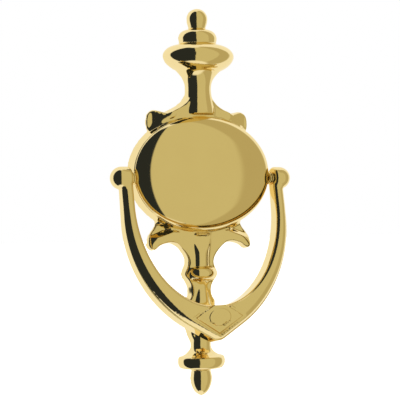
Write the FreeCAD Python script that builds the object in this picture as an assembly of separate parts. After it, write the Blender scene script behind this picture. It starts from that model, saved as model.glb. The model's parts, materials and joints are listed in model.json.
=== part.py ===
"""Urn and oval door knocker: a hollow cast back plate, a domed oval cover and a swinging bail.

Millimetres. The origin is on the door face, on the centre line, level with the bail's pivots.
+Z is up, the front faces -Y and the door lies on the +Y side.
"""
import FreeCAD, Part
import os
from math import atan2, cos, degrees, radians, sin, sqrt

V = FreeCAD.Vector
DOOR_SIDE = V(0, 1, 0)
FRONT_SIDE = V(0, -1, 0)
ACROSS = V(1, 0, 0)
UP = V(0, 0, 1)

# ---- oval frame, the middle of the back plate
OVAL_HALF_W = 38.8        # centre to the cover's edge, across
OVAL_HALF_H = 29.7        # centre to the cover's edge, up and down
OVAL_ABOVE_PIVOT = 2.3    # oval centre above the pivot line
SEAT_DEPTH = 7.2          # door face to the rim that the cover stands on
FRAME_DRAFT = 1.5         # how much wider the frame is at the door than at its rim
FRAME_WALL = 2.6          # rim's outer edge to the inside of the well
WEB = 2.0                 # floor of the well, flat on the door

# ---- domed oval cover
COVER_EDGE = 0.6          # straight edge between the rim and the dome
DOME_RISE = 8.8           # edge to crown
COVER_T = 1.5             # at the crown, and of the locating skirt
SKIRT_DOWN = 1.5          # rim to the skirt's lower end, inside the well
EDGE_ROUND = 0.4
COVER_GAP = 0.10          # locating skirt to the well's wall
COVER_PASS = 0.3          # cover to what passes under it, all round

# ---- cover studs and nuts
STUD_R = 1.5
STUD_X = 13.0
STUD_TAIL = 0.5           # door face to the stud's end
STUD_HOLE_GAP = 0.15
STUD_PAD_R = 6.0
STUD_PAD_H = 5.2          # door face to the top of the pad inside the well
NUT_AF = 5.5
NUT_T = 2.2
NUT_WASHER_R = 3.4
NUT_WASHER_T = 0.5
NUT_POCKET_GAP = 0.5      # round the washer, in its pocket
NUT_SUNK = 0.5            # door face to the nut

# ---- pivots
BALL_R = 5.95
BALL_OFF_DOOR = 0.35
BALL_L = 4.5              # inner flat to the centre of the domed outer end
BALL_CHAMFER = 1.0        # round the inner flat
BOSS_PROUD = 1.3          # boss face beyond the rim's side
BOSS_R = 3.3
BOSS_REACH = 9.0          # boss face to its inner end, inside the well
SPACER_T = 1.0
SPACER_R = 3.3
END_PLAY = 0.08           # each side of the spacer and of the thrust washer
PIVOT_R = 1.1
PIVOT_FIT = 0.05          # radial running clearance in the boss
THREAD_R = 0.9
THREAD_L = 4.6
BLIND_EXTRA = 0.8
THRUST_T = 0.6
THRUST_R = 2.2
PIVOT_HEAD_R = 2.0
PIVOT_HEAD_T = 1.6
SLOT_W = 0.8
SLOT_DEEP = 0.9

# ---- urn, half turned, heights above the top of the oval frame
NECK_R = 6.95
NECK_MID = 13.7
COVE_R = 12.1             # the crease where the bulb's underside meets the cove
COVE_TOP = 22.6
BULB_BOTTOM = 22.9
BULB_MID = 30.2
BULB_TOP = 36.6
BULB_R = 19.5
BULB_WALL = 3.2
CAP_R = 10.45
CAP_BOTTOM = 36.9
CAP_TOP = 44.7
KNOB_NECK_R = 4.1
KNOB_R = 5.5
KNOB_MID = 49.6
KNOB_TOP = 55.3

# ---- how the turned shapes stand on the plate
TURNED_STAND = 2.2        # door face to the turning axis
TURNED_SQUASH = 0.88      # front to back against side to side

# ---- relief outlines, cast with sloping sides
RELIEF_INSET = 1.4        # door outline to the front outline, on horns, scrolls and stem
SHOULDER_INSET = 1.8      # the same where the shoulders leave the neck
STEM_INSET = 1.6          # the same beside the stem and its bead
SHOULDER_CROWN = 6.6      # door face to the shoulders' crown
SHOULDER_CROWN_R = 100.0
LEAF_CROWN = 4.8
LEAF_CROWN_R = 150.0

# ---- lower half of the plate, depths below the bottom of the oval frame
STEM_R = 4.9
BEAD_R = 8.5
BEAD_MID = 20.8
BEAD_HALF_H = 3.4
WAIST_R = 3.7
WAIST_AT = 26.7
STRIKE_BELOW = 44.9       # frame bottom to the strike's centre
TAIL_R = 5.3
TAIL_BELOW_STRIKE = 11.5
DISC_BELOW_STRIKE = 21.7
DISC_R = 12.9
DISC_HALF_H = 3.6
DROP_R = 5.75
DROP_L = 14.8             # underside of the disc to the drop's tip

# ---- strike and hammer
PAD_R = 10.0
PAD_DRAFT = 1.6
PAD_H = 6.0
SEAT_SPARE = 2.0          # flat round the strike on its pad
STRIKE_R = 5.0
STRIKE_H = 3.6
STRIKE_SHANK_R = 2.4
STRIKE_NUT_AF = 7.0
STRIKE_NUT_T = 2.3
STRIKE_WASHER_R = 4.3
STRIKE_WASHER_T = 0.5
REST_GAP = 0.12           # hammer to strike, with the bail hanging
HAMMER_R = 5.4
HAMMER_H = 2.7
HAMMER_SHANK_R = 2.4
HAMMER_SHANK_L = 7.0
HAMMER_BOSS_R = 6.3
BUTTON_ROUND = 1.0

# ---- bail, its sizes taken along its own leaning front
ARM_INSET = 0.6           # arm's inner side, nearer the oval than the ball's flat
ARM_W = 6.1
ARM_THICK = 6.9           # front to back, level with the pivots
THICKENING = 0.075        # thickness gained per mm down
BAIL_LEAN = 11.7          # degrees that the hanging bail's front leans out
FRONT_FROM_PIVOT = 3.9    # pivot line to the front, square to it
HUB_GAP = 0.3             # spacer to the arm, all round
BAIL_INNER_ABOVE = 8.8    # strike centre to the inside of the bend
BAIL_TIP_BELOW = 8.4      # strike centre to the bail's lowest point
BEND_START = 14.0         # pivot line to the start of the bend
FRONT_ROUND = 2.3
REAR_ROUND = 0.9
BEND_R = 64.0             # outer edge of the bend
TIP_SLOPE = 30.5          # degrees, of the straight edges that meet at the tip
TIP_ROUND = 6.0

# ---- lozenge on the bail
LOZENGE_HALF_W = 13.2
LOZENGE_HALF_H = 8.3
LOZENGE_PROUD = 0.7
LOZENGE_ABOVE = 2.8       # strike centre to the lozenge's centre
PANEL_HALF_W = 6.0
PANEL_HALF_H = 4.4
PANEL_PROUD = 0.4

# ---- tapped holes for the door's machine screws
POST_HOLE_R = 2.1
UPPER_HOLE_DEEP = 12.0
LOWER_HOLE_DEEP = 6.2
POST_R = 5.0

# ---- places that follow from the sizes above
OVAL_Z = OVAL_ABOVE_PIVOT
WELL_HALF_W = OVAL_HALF_W - FRAME_WALL
WELL_HALF_H = OVAL_HALF_H - FRAME_WALL
RIM_DEPTH = SEAT_DEPTH + COVER_EDGE
FRAME_HALF_W = OVAL_HALF_W + FRAME_DRAFT
FRAME_HALF_H = OVAL_HALF_H + FRAME_DRAFT
FRAME_TOP = OVAL_Z + FRAME_HALF_H
FRAME_BOTTOM = OVAL_Z - FRAME_HALF_H
PIVOT_Y = -(BALL_R + BALL_OFF_DOOR)
BOSS_FACE = OVAL_HALF_W + BOSS_PROUD
BOSS_INNER = BOSS_FACE - BOSS_REACH
BALL_FLAT = BOSS_FACE + SPACER_T + 2 * END_PLAY
BALL_X = BALL_FLAT + BALL_L
ARM_INNER = BALL_FLAT - ARM_INSET
ARM_OUTER = ARM_INNER + ARM_W
STRIKE_Z = FRAME_BOTTOM - STRIKE_BELOW
STRIKE_FACE_Y = -(PAD_H + STRIKE_H)
HAMMER_FACE_Y = STRIKE_FACE_Y - REST_GAP
HAMMER_SEAT_Y = HAMMER_FACE_Y - HAMMER_H
BEND_BOTTOM = STRIKE_Z + BAIL_INNER_ABOVE
TIP_Z = STRIKE_Z - BAIL_TIP_BELOW
UPPER_HOLE_Z = FRAME_TOP + BULB_MID
LOWER_HOLE_Z = FRAME_BOTTOM - BEAD_MID
WAIST_Z = FRAME_BOTTOM - WAIST_AT
LOZENGE_Z = STRIKE_Z + LOZENGE_ABOVE
BAIL_FRONT_Y = PIVOT_Y - FRONT_FROM_PIVOT


# ------------------------------------------------------------------ small helpers
def cylinder(radius, start, direction, length):
    """A round bar from a point, along a direction."""
    return Part.makeCylinder(radius, length, start, direction)


def trail(start, moves):
    """Edges from a start point: a point makes a line, two points an arc, a longer list a curve."""
    edges = []
    here = V(*start)
    for move in moves:
        if isinstance(move[0], (int, float)):
            there = V(*move)
            edges.append(Part.LineSegment(here, there).toShape())
        elif len(move) == 2:
            there = V(*move[1])
            edges.append(Part.Arc(here, V(*move[0]), there).toShape())
        else:
            there = V(*move[-1])
            curve = Part.BSplineCurve()
            curve.interpolate([here] + [V(*point) for point in move])
            edges.append(curve.toShape())
        here = there
    return edges


def half_turned(start, moves, stand=0, squash=1):
    """The front half of a turned body, from a profile of radius and height.

    Squash flattens it front to back, and stand lifts it off the door on straight sides.
    """
    flat_start = (start[0], 0, start[1])
    flat_moves = []
    for move in moves:
        if isinstance(move[0], (int, float)):
            flat_moves.append((move[0], 0, move[1]))
        else:
            flat_moves.append([(point[0], 0, point[1]) for point in move])
    edges = trail(flat_start, flat_moves)
    last = edges[-1].Vertexes[-1].Point
    edges.append(Part.LineSegment(last, V(*flat_start)).toShape())
    face = Part.Face(Part.Wire(edges))
    body = face.revolve(V(0, 0, 0), UP, -180)
    if not stand:
        return body
    flatten = FreeCAD.Matrix()
    flatten.scale(1, squash, 1)
    body = body.transformGeometry(flatten)
    body.translate(V(0, -stand, 0))
    side = face.extrude(V(0, -stand, 0))
    return body.fuse([side, mirrored(side)])


def oval_wire(half_w, half_h, y):
    """An ellipse parallel to the door, round the oval's centre."""
    centre = V(0, y, OVAL_Z)
    if half_w >= half_h:
        ellipse = Part.Ellipse(centre + V(half_w, 0, 0), centre + V(0, 0, half_h), centre)
    else:
        ellipse = Part.Ellipse(centre + V(0, 0, half_h), centre + V(half_w, 0, 0), centre)
    return Part.Wire(ellipse.toShape())


def oval_block(half_w, half_h, y_near_door, y_front):
    """A straight oval block between two distances from the door."""
    face = Part.Face(oval_wire(half_w, half_h, y_near_door))
    return face.extrude(V(0, y_front - y_near_door, 0))


def beside_oval(angle, out, half_w=FRAME_HALF_W, half_h=FRAME_HALF_H):
    """The point a distance out from the frame's foot, at an angle round it."""
    turn = radians(angle)
    normal = V(cos(turn) / half_w, 0, sin(turn) / half_h)
    normal.normalize()
    foot = V(half_w * cos(turn), 0, OVAL_Z + half_h * sin(turn))
    there = foot + normal * out
    return (there.x, there.z)


def dome(half_w, half_h, rise, base_y):
    """A solid cap on an oval base, its crown towards the front."""
    radius = (half_w ** 2 + rise ** 2) / (2 * rise)
    ball = Part.makeSphere(radius, V(0, radius - rise, 0))
    keep = Part.makeBox(4 * half_w, 2 * rise, 4 * half_w, V(-2 * half_w, -2 * rise, -2 * half_w))
    cap = ball.common(keep)
    squeeze = FreeCAD.Matrix()
    squeeze.scale(1, 1, half_h / half_w)
    cap = cap.transformGeometry(squeeze)
    cap.translate(V(0, base_y, OVAL_Z))
    return cap


def inset_points(points, insets):
    """Each point of a right-hand outline moved inwards by its own amount, square to the outline."""
    moved = []
    for index, (x, z) in enumerate(points):
        before = points[max(index - 1, 0)]
        after = points[min(index + 1, len(points) - 1)]
        run = V(after[0] - before[0], 0, after[1] - before[1])
        run.normalize()
        moved.append((x + run.z * insets[index], z - run.x * insets[index]))
    return moved


def closed_outline(runs, y):
    """A closed wire from the right-hand runs of points, from the top down, mirrored to the left."""
    right = []
    for run in runs:
        points = [V(x, y, z) for x, z in run]
        if len(points) == 2:
            right.append(Part.LineSegment(points[0], points[1]).toShape())
        else:
            curve = Part.BSplineCurve()
            curve.interpolate(points)
            right.append(curve.toShape())
    left = [edge.mirror(V(0, 0, 0), ACROSS) for edge in right]
    top, bottom = runs[0][0], runs[-1][-1]
    bridges = [
        Part.LineSegment(V(-top[0], y, top[1]), V(top[0], y, top[1])).toShape(),
        Part.LineSegment(V(bottom[0], y, bottom[1]), V(-bottom[0], y, bottom[1])).toShape(),
    ]
    return Part.Wire(Part.__sortEdges__([bridges[0]] + right + [bridges[1]] + left))


def relief(runs, insets, crown, crown_r):
    """A raised shape with sloping sides and a front that falls away to left and right."""
    joined = [point for run in runs for point in run[:-1]] + [runs[-1][-1]]
    moved = inset_points(joined, insets)
    inner_runs = []
    at = 0
    for run in runs:
        inner_runs.append(moved[at:at + len(run)])
        at += len(run) - 1
    body = Part.makeLoft([closed_outline(runs, 0), closed_outline(inner_runs, -crown)], True, True)
    height = 2 * (KNOB_TOP + FRAME_TOP)
    curve = cylinder(crown_r, V(0, crown_r - crown, -height), UP, 2 * height)
    return body.common(curve)


def hex_nut(across_flats, thickness, start, direction, bore_r):
    """A six-sided nut with its corners taken down, bored for its stud."""
    corner = across_flats / (2 * cos(radians(30)))
    ring = [V(corner * cos(radians(60 * k)), corner * sin(radians(60 * k)), 0) for k in range(7)]
    nut = Part.Face(Part.makePolygon(ring)).extrude(V(0, 0, thickness))
    crown = Part.makeCone(corner + thickness, across_flats * 0.47, thickness + corner - across_flats * 0.47)
    nut = nut.common(crown)
    nut = nut.cut(cylinder(bore_r, V(0, 0, -1), UP, thickness + 2))
    nut.Placement = FreeCAD.Placement(start, FreeCAD.Rotation(UP, direction))
    return nut


def washer(outer_r, inner_r, start, direction, thickness):
    """A flat ring."""
    ring = cylinder(outer_r, start, direction, thickness)
    return ring.cut(cylinder(inner_r, start - direction, direction, thickness + 2))


def mirrored(shape):
    """The same piece on the other side of the centre line."""
    return shape.mirror(V(0, 0, 0), ACROSS)


# ------------------------------------------------------------------ back plate
def urn():
    """Knob, cap, bulb, collar and neck, half turned."""
    base = FRAME_TOP
    rise = BULB_TOP - BULB_MID
    fall = BULB_MID - BULB_BOTTOM
    return half_turned((0, base + KNOB_TOP), [
        [(0.71 * KNOB_R, base + KNOB_MID + 0.72 * (KNOB_TOP - KNOB_MID)), (KNOB_R, base + KNOB_MID)],
        [(0.93 * KNOB_R, base + KNOB_MID - 2.4), (KNOB_NECK_R, base + CAP_TOP)],
        (0.62 * CAP_R, base + CAP_TOP - 0.7),
        [(0.92 * CAP_R, base + CAP_TOP - 2.7), (CAP_R, base + CAP_TOP - 5.4)],
        (CAP_R - 0.3, base + CAP_BOTTOM + 0.7),
        (CAP_R - 1.0, base + CAP_BOTTOM),
        (CAP_R - 0.9, base + BULB_TOP),
        [(0.74 * BULB_R, base + BULB_MID + 0.82 * rise), (0.90 * BULB_R, base + BULB_MID + 0.54 * rise),
         (BULB_R, base + BULB_MID), (0.945 * BULB_R, base + BULB_MID - 0.42 * fall),
         (0.80 * BULB_R, base + BULB_MID - 0.80 * fall), (COVE_R + 0.9, base + BULB_BOTTOM)],
        (COVE_R, base + COVE_TOP),
        [(0.5 * (COVE_R + NECK_R), base + 0.71 * COVE_TOP + 0.29 * NECK_MID),
         (NECK_R + 0.65, base + 0.37 * COVE_TOP + 0.63 * NECK_MID), (NECK_R, base + NECK_MID),
         (NECK_R + 0.35, base + 0.69 * NECK_MID), (NECK_R + 1.8, base)],
        (0, base),
    ], TURNED_STAND, TURNED_SQUASH)


def urn_hollow():
    """The space inside the bulb, open to the door."""
    room_r = BULB_R - BULB_WALL
    middle = FRAME_TOP + BULB_MID
    half_h = 0.5 * (BULB_TOP - BULB_BOTTOM) - BULB_WALL + 1.2
    return half_turned((0, middle + half_h), [
        [(0.75 * room_r, middle + 0.66 * half_h), (room_r, middle)],
        [(0.75 * room_r, middle - 0.66 * half_h), (0, middle - half_h)],
    ])


def shoulders():
    """The spread of the neck over the oval, with a horn at each side."""
    slope = [
        (NECK_R + 0.7, FRAME_TOP + 0.69 * NECK_MID),
        (NECK_R + 3.4, FRAME_TOP + 0.44 * NECK_MID),
        beside_oval(69, 4.8),
        beside_oval(64, 4.4),
    ]
    horn = [
        beside_oval(64, 4.4),
        beside_oval(60, 6.6),
        beside_oval(56, 8.1),
        beside_oval(52, 7.7),
        beside_oval(49, 5.7),
        beside_oval(46, 2.6),
        beside_oval(44.5, -1.5),
    ]
    foot = [beside_oval(44.5, -1.5), beside_oval(50, -6)]
    insets = [SHOULDER_INSET] * 2 + [RELIEF_INSET] * 9
    return relief([slope, horn, foot], insets, SHOULDER_CROWN, SHOULDER_CROWN_R)


def lower_relief():
    """Leaf with two scrolls that curl down, then the stem with its bead and waist."""
    hook = beside_oval(-52, 0)
    foot = [beside_oval(-45, -6), beside_oval(-50.5, -1.0)]
    scroll = [
        beside_oval(-50.5, -1.0),
        (hook[0] + 2.4, hook[1] - 4.8),
        (hook[0] + 4.4, hook[1] - 7.4),
        (hook[0] + 5.3, hook[1] - 10.6),
        (hook[0] + 4.9, hook[1] - 13.9),
        (hook[0] + 2.8, hook[1] - 15.2),
        (hook[0] - 0.2, hook[1] - 13.8),
    ]
    stem_w = STEM_R + 3.6
    bead_z = FRAME_BOTTOM - BEAD_MID
    arch = [
        (hook[0] - 0.2, hook[1] - 13.8),
        (hook[0] - 4.8, FRAME_BOTTOM - 5.4),
        (hook[0] - 9.2, FRAME_BOTTOM - 5.5),
        (stem_w + 2.5, FRAME_BOTTOM - 9.0),
        (stem_w + 0.6, FRAME_BOTTOM - 12.0),
        (stem_w, FRAME_BOTTOM - 15.5),
        (BEAD_R + 1.5, bead_z + 2.0),
        (BEAD_R + 2.0, bead_z - 0.8),
        (WAIST_R + 4.2, bead_z - 5.2),
        (WAIST_R + 3.2, WAIST_Z - 3.4),
        (0.83 * PAD_R, 0.5 * (WAIST_Z + STRIKE_Z) + 1.0),
    ]
    neck = [
        (0.83 * PAD_R, 0.5 * (WAIST_Z + STRIKE_Z) + 1.0),
        (0.86 * PAD_R, STRIKE_Z),
        (TAIL_R + 1.6, STRIKE_Z - 0.95 * PAD_R),
        (TAIL_R + 0.6, STRIKE_Z - TAIL_BELOW_STRIKE),
        (TAIL_R + 1.5, STRIKE_Z - DISC_BELOW_STRIKE + 4.5),
    ]
    slant = STEM_INSET
    insets = [RELIEF_INSET] * 10 + [0.6 * slant, 0.8 * slant] + [slant] * 3 + [1.1 * slant, 1.2 * slant, 0.5 * slant]
    insets += [RELIEF_INSET] * 4
    return relief([foot, scroll, arch, neck], insets, LEAF_CROWN, LEAF_CROWN_R)


def lower_turnings():
    """Stem, bead, waist, tail, disc and drop, half turned."""
    bead_z = FRAME_BOTTOM - BEAD_MID
    disc_z = STRIKE_Z - DISC_BELOW_STRIKE
    drop_top = disc_z - DISC_HALF_H - 0.9
    return half_turned((0, FRAME_BOTTOM), [
        (STEM_R + 1.0, FRAME_BOTTOM),
        (STEM_R, FRAME_BOTTOM - 12),
        (STEM_R, bead_z + BEAD_HALF_H),
        [(BEAD_R, bead_z), (STEM_R, bead_z - BEAD_HALF_H)],
        (WAIST_R, WAIST_Z),
        (TAIL_R, 0.5 * (WAIST_Z + STRIKE_Z)),
        (TAIL_R, STRIKE_Z - TAIL_BELOW_STRIKE - 3),
        [(TAIL_R + 1.7, disc_z + DISC_HALF_H + 1.2), (0.93 * DISC_R, disc_z + DISC_HALF_H - 0.8)],
        [(DISC_R, disc_z), (0.88 * DISC_R, disc_z - DISC_HALF_H)],
        (0.82 * DROP_R, drop_top),
        [(DROP_R, drop_top - 5.2), (0.80 * DROP_R, drop_top - 9.6)],
        [(0.45 * DROP_R, drop_top - 12.4), (0, drop_top - DROP_L + 0.9)],
    ], TURNED_STAND, TURNED_SQUASH)


def frame():
    """The oval wall, tapered towards its rim."""
    return Part.makeLoft([
        oval_wire(FRAME_HALF_W, FRAME_HALF_H, 0),
        oval_wire(OVAL_HALF_W, OVAL_HALF_H, -SEAT_DEPTH),
    ], True, True)


def cover_room(gap):
    """The hollow under the cover, drawn in by a gap on every side."""
    half_w = WELL_HALF_W - COVER_GAP - COVER_T - gap
    half_h = WELL_HALF_H - COVER_GAP - COVER_T - gap
    return dome(half_w, half_h, COVER_EDGE + DOME_RISE - COVER_T - gap, -SEAT_DEPTH)


def inner_boss():
    """The part of the right-hand boss that stands inside the well, clear of the cover."""
    boss = cylinder(BOSS_R, V(BOSS_INNER, PIVOT_Y, 0), ACROSS, BOSS_REACH)
    foot = Part.makeBox(WELL_HALF_W - BOSS_INNER + 1, -PIVOT_Y, 2 * BOSS_R * 0.8,
                        V(BOSS_INNER, PIVOT_Y, -BOSS_R * 0.8))
    low_room = oval_block(WELL_HALF_W, WELL_HALF_H, 0, -(SEAT_DEPTH - SKIRT_DOWN - COVER_PASS))
    inset = COVER_GAP + COVER_T + COVER_PASS
    middle = oval_block(WELL_HALF_W - inset, WELL_HALF_H - inset, 0, -SEAT_DEPTH)
    return boss.fuse(foot).common(low_room.fuse([middle, cover_room(COVER_PASS)]))


def outer_boss():
    """The part of the right-hand boss that stands out of the frame's side."""
    boss = cylinder(BOSS_R, V(OVAL_HALF_W - FRAME_WALL / 2, PIVOT_Y, 0), ACROSS, FRAME_WALL / 2 + BOSS_PROUD)
    return boss.cut(oval_block(OVAL_HALF_W + COVER_GAP, OVAL_HALF_H + COVER_GAP, -SEAT_DEPTH, -3 * SEAT_DEPTH))


def stud_pad(x):
    """A pad on the well's floor for a cover stud."""
    return cylinder(STUD_PAD_R, V(x, 0, OVAL_Z), FRONT_SIDE, STUD_PAD_H)


def strike_pad():
    """The thick round seat of the strike."""
    return Part.makeCone(PAD_R, PAD_R - PAD_DRAFT, PAD_H, V(0, 0, STRIKE_Z), FRONT_SIDE)


def nut_pocket(x, z, washer_r, washer_t, nut_t):
    """A round pocket in the door side for a nut and its washer."""
    return cylinder(washer_r + NUT_POCKET_GAP, V(x, 1, z), FRONT_SIDE, 1 + NUT_SUNK + nut_t + washer_t)


def back_plate():
    """The casting: all the fixed relief, the oval well, bosses, pads and holes."""
    outside = urn().fuse([shoulders(), lower_relief(), lower_turnings(), strike_pad(), frame()])
    hollow = urn_hollow().cut(cylinder(POST_R, V(0, 1, UPPER_HOLE_Z), FRONT_SIDE, BULB_R + 1))
    over_frame = oval_block(OVAL_HALF_W + COVER_GAP, OVAL_HALF_H + COVER_GAP, -SEAT_DEPTH, -3 * SEAT_DEPTH)
    well = oval_block(WELL_HALF_W, WELL_HALF_H, -WEB, -3 * SEAT_DEPTH)
    shell = outside.cut([hollow, over_frame, well])
    lugs = [stud_pad(STUD_X), stud_pad(-STUD_X)]
    for boss in (inner_boss(), outer_boss()):
        lugs.extend([boss, mirrored(boss)])
    bore = cylinder(PIVOT_R + PIVOT_FIT, V(BOSS_INNER - 1, PIVOT_Y, 0), ACROSS, BOSS_REACH + 2)
    holes = [bore, mirrored(bore)]
    for x in (STUD_X, -STUD_X):
        holes.append(cylinder(STUD_R + STUD_HOLE_GAP, V(x, 1, OVAL_Z), FRONT_SIDE, STUD_PAD_H + 2))
        holes.append(nut_pocket(x, OVAL_Z, NUT_WASHER_R, NUT_WASHER_T, NUT_T))
    holes.append(cylinder(STRIKE_SHANK_R + STUD_HOLE_GAP, V(0, 1, STRIKE_Z), FRONT_SIDE, PAD_H + STRIKE_H))
    holes.append(nut_pocket(0, STRIKE_Z, STRIKE_WASHER_R, STRIKE_WASHER_T, STRIKE_NUT_T))
    holes.append(cylinder(POST_HOLE_R, V(0, 1, UPPER_HOLE_Z), FRONT_SIDE, UPPER_HOLE_DEEP + 1))
    holes.append(cylinder(POST_HOLE_R, V(0, 1, LOWER_HOLE_Z), FRONT_SIDE, LOWER_HOLE_DEEP + 1))
    seat = cylinder(STRIKE_R + SEAT_SPARE, V(0, -PAD_H, STRIKE_Z), FRONT_SIDE, STRIKE_H + 8)
    return shell.fuse(lugs).cut(holes + [seat]).removeSplitter()


# ------------------------------------------------------------------ oval cover and its fixings
def oval_cover():
    """The domed oval lid, flush with the frame's side, with a skirt that locates it in the well."""
    edge = oval_block(OVAL_HALF_W, OVAL_HALF_H, -SEAT_DEPTH, -RIM_DEPTH)
    lid = dome(OVAL_HALF_W, OVAL_HALF_H, DOME_RISE, -RIM_DEPTH).fuse(edge).removeSplitter()
    corner = [edge for edge in lid.Edges if abs(edge.CenterOfMass.y + RIM_DEPTH) < 1e-3 and edge.Length > OVAL_HALF_W]
    lid = lid.makeFillet(EDGE_ROUND, corner)
    skirt_w = WELL_HALF_W - COVER_GAP
    skirt_h = WELL_HALF_H - COVER_GAP
    skirt = oval_block(skirt_w, skirt_h, -(SEAT_DEPTH - SKIRT_DOWN), -SEAT_DEPTH)
    inside = oval_block(skirt_w - COVER_T, skirt_h - COVER_T, 0, -SEAT_DEPTH).fuse(cover_room(0))
    half_gate = BOSS_R + COVER_PASS
    gate = Part.makeBox(FRAME_WALL + 2 * COVER_T, SEAT_DEPTH, 2 * half_gate,
                        V(WELL_HALF_W - 2 * COVER_T, -SEAT_DEPTH, -half_gate))
    groove = cylinder(PIVOT_R + COVER_PASS, V(WELL_HALF_W - 2 * COVER_T, PIVOT_Y, 0), ACROSS,
                      FRAME_WALL + 3 * COVER_T)
    return lid.fuse(skirt).cut([inside, gate, mirrored(gate), groove, mirrored(groove)]).removeSplitter()


def cover_stud(x, cover):
    """A threaded stud soldered under the dome, with its foot shaped to it."""
    reach = RIM_DEPTH + DOME_RISE
    stud = cylinder(STUD_R, V(x, -STUD_TAIL, OVAL_Z), FRONT_SIDE, reach - STUD_TAIL)
    foot = cylinder(2.2 * STUD_R, V(x, -reach + COVER_T + 1.9, OVAL_Z), FRONT_SIDE, COVER_T + 1.9)
    grown = stud.fuse(foot).cut(cover)
    return sorted(grown.Solids, key=lambda solid: solid.Volume)[-1]


def cover_washer(x):
    """The washer between a cover nut and the plate."""
    start = V(x, -(NUT_SUNK + NUT_T), OVAL_Z)
    return washer(NUT_WASHER_R, STUD_R + STUD_HOLE_GAP, start, FRONT_SIDE, NUT_WASHER_T)


def cover_nut(x):
    """The nut that draws the cover down on its ledge."""
    return hex_nut(NUT_AF, NUT_T, V(x, -(NUT_SUNK + NUT_T), OVAL_Z), DOOR_SIDE, STUD_R)


# ------------------------------------------------------------------ pivots
def pivot_screw():
    """The right-hand shoulder screw, put in from inside the well and screwed into the ball."""
    head_x = BOSS_INNER - THRUST_T - 2 * END_PLAY - PIVOT_HEAD_T
    head = cylinder(PIVOT_HEAD_R, V(head_x, PIVOT_Y, 0), ACROSS, PIVOT_HEAD_T)
    inner_edge = [edge for edge in head.Edges if abs(edge.CenterOfMass.x - head_x) < 1e-6]
    head = head.makeFillet(0.4, inner_edge)
    slot = Part.makeBox(SLOT_DEEP, 4 * PIVOT_HEAD_R, SLOT_W, V(head_x, PIVOT_Y - 2 * PIVOT_HEAD_R, -SLOT_W / 2))
    shank_x = head_x + PIVOT_HEAD_T
    shank = cylinder(PIVOT_R, V(shank_x, PIVOT_Y, 0), ACROSS, BALL_FLAT - shank_x)
    thread = cylinder(THREAD_R, V(BALL_FLAT, PIVOT_Y, 0), ACROSS, THREAD_L)
    return head.cut(slot).fuse([shank, thread]).removeSplitter()


def pivot_spacer():
    """The ring between the boss and the ball."""
    return washer(SPACER_R, PIVOT_R + PIVOT_FIT, V(BOSS_FACE + END_PLAY, PIVOT_Y, 0), ACROSS, SPACER_T)


def thrust_washer():
    """The ring between the screw's head and the inner end of the boss."""
    start = V(BOSS_INNER - THRUST_T - END_PLAY, PIVOT_Y, 0)
    return washer(THRUST_R, PIVOT_R + PIVOT_FIT, start, ACROSS, THRUST_T)


# ------------------------------------------------------------------ strike and hammer
def strike_stud():
    """The round button that the hammer lands on, with its shank through the plate."""
    head = cylinder(STRIKE_R, V(0, -PAD_H, STRIKE_Z), FRONT_SIDE, STRIKE_H)
    front_edge = [edge for edge in head.Edges if abs(edge.CenterOfMass.y - STRIKE_FACE_Y) < 1e-6]
    head = head.makeFillet(BUTTON_ROUND, front_edge)
    return head.fuse(cylinder(STRIKE_SHANK_R, V(0, -STUD_TAIL, STRIKE_Z), FRONT_SIDE, PAD_H)).removeSplitter()


def strike_washer():
    """The washer under the strike's nut."""
    start = V(0, -(NUT_SUNK + STRIKE_NUT_T), STRIKE_Z)
    return washer(STRIKE_WASHER_R, STRIKE_SHANK_R + STUD_HOLE_GAP, start, FRONT_SIDE, STRIKE_WASHER_T)


def strike_nut():
    """The nut that holds the strike."""
    start = V(0, -(NUT_SUNK + STRIKE_NUT_T), STRIKE_Z)
    return hex_nut(STRIKE_NUT_AF, STRIKE_NUT_T, start, DOOR_SIDE, STRIKE_SHANK_R)


def hammer_button():
    """The button on the back of the bail, its shank screwed into the bail."""
    head = cylinder(HAMMER_R, V(0, HAMMER_FACE_Y, STRIKE_Z), FRONT_SIDE, HAMMER_H)
    rear_edge = [edge for edge in head.Edges if abs(edge.CenterOfMass.y - HAMMER_FACE_Y) < 1e-6]
    head = head.makeFillet(BUTTON_ROUND, rear_edge)
    shank = cylinder(HAMMER_SHANK_R, V(0, HAMMER_SEAT_Y, STRIKE_Z), FRONT_SIDE, HAMMER_SHANK_L)
    return head.fuse(shank).removeSplitter()


# ------------------------------------------------------------------ bail
def on_bail(z):
    """Where a height on the leaning front lies along the bail before it leans."""
    lean = radians(BAIL_LEAN)
    return (z - FRONT_FROM_PIVOT * sin(lean)) / cos(lean)


def leaned(shape):
    """The shape swung forward about the pivot line, from upright to the hanging bail's lean."""
    return shape.rotated(V(0, PIVOT_Y, 0), ACROSS, -BAIL_LEAN)


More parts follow.
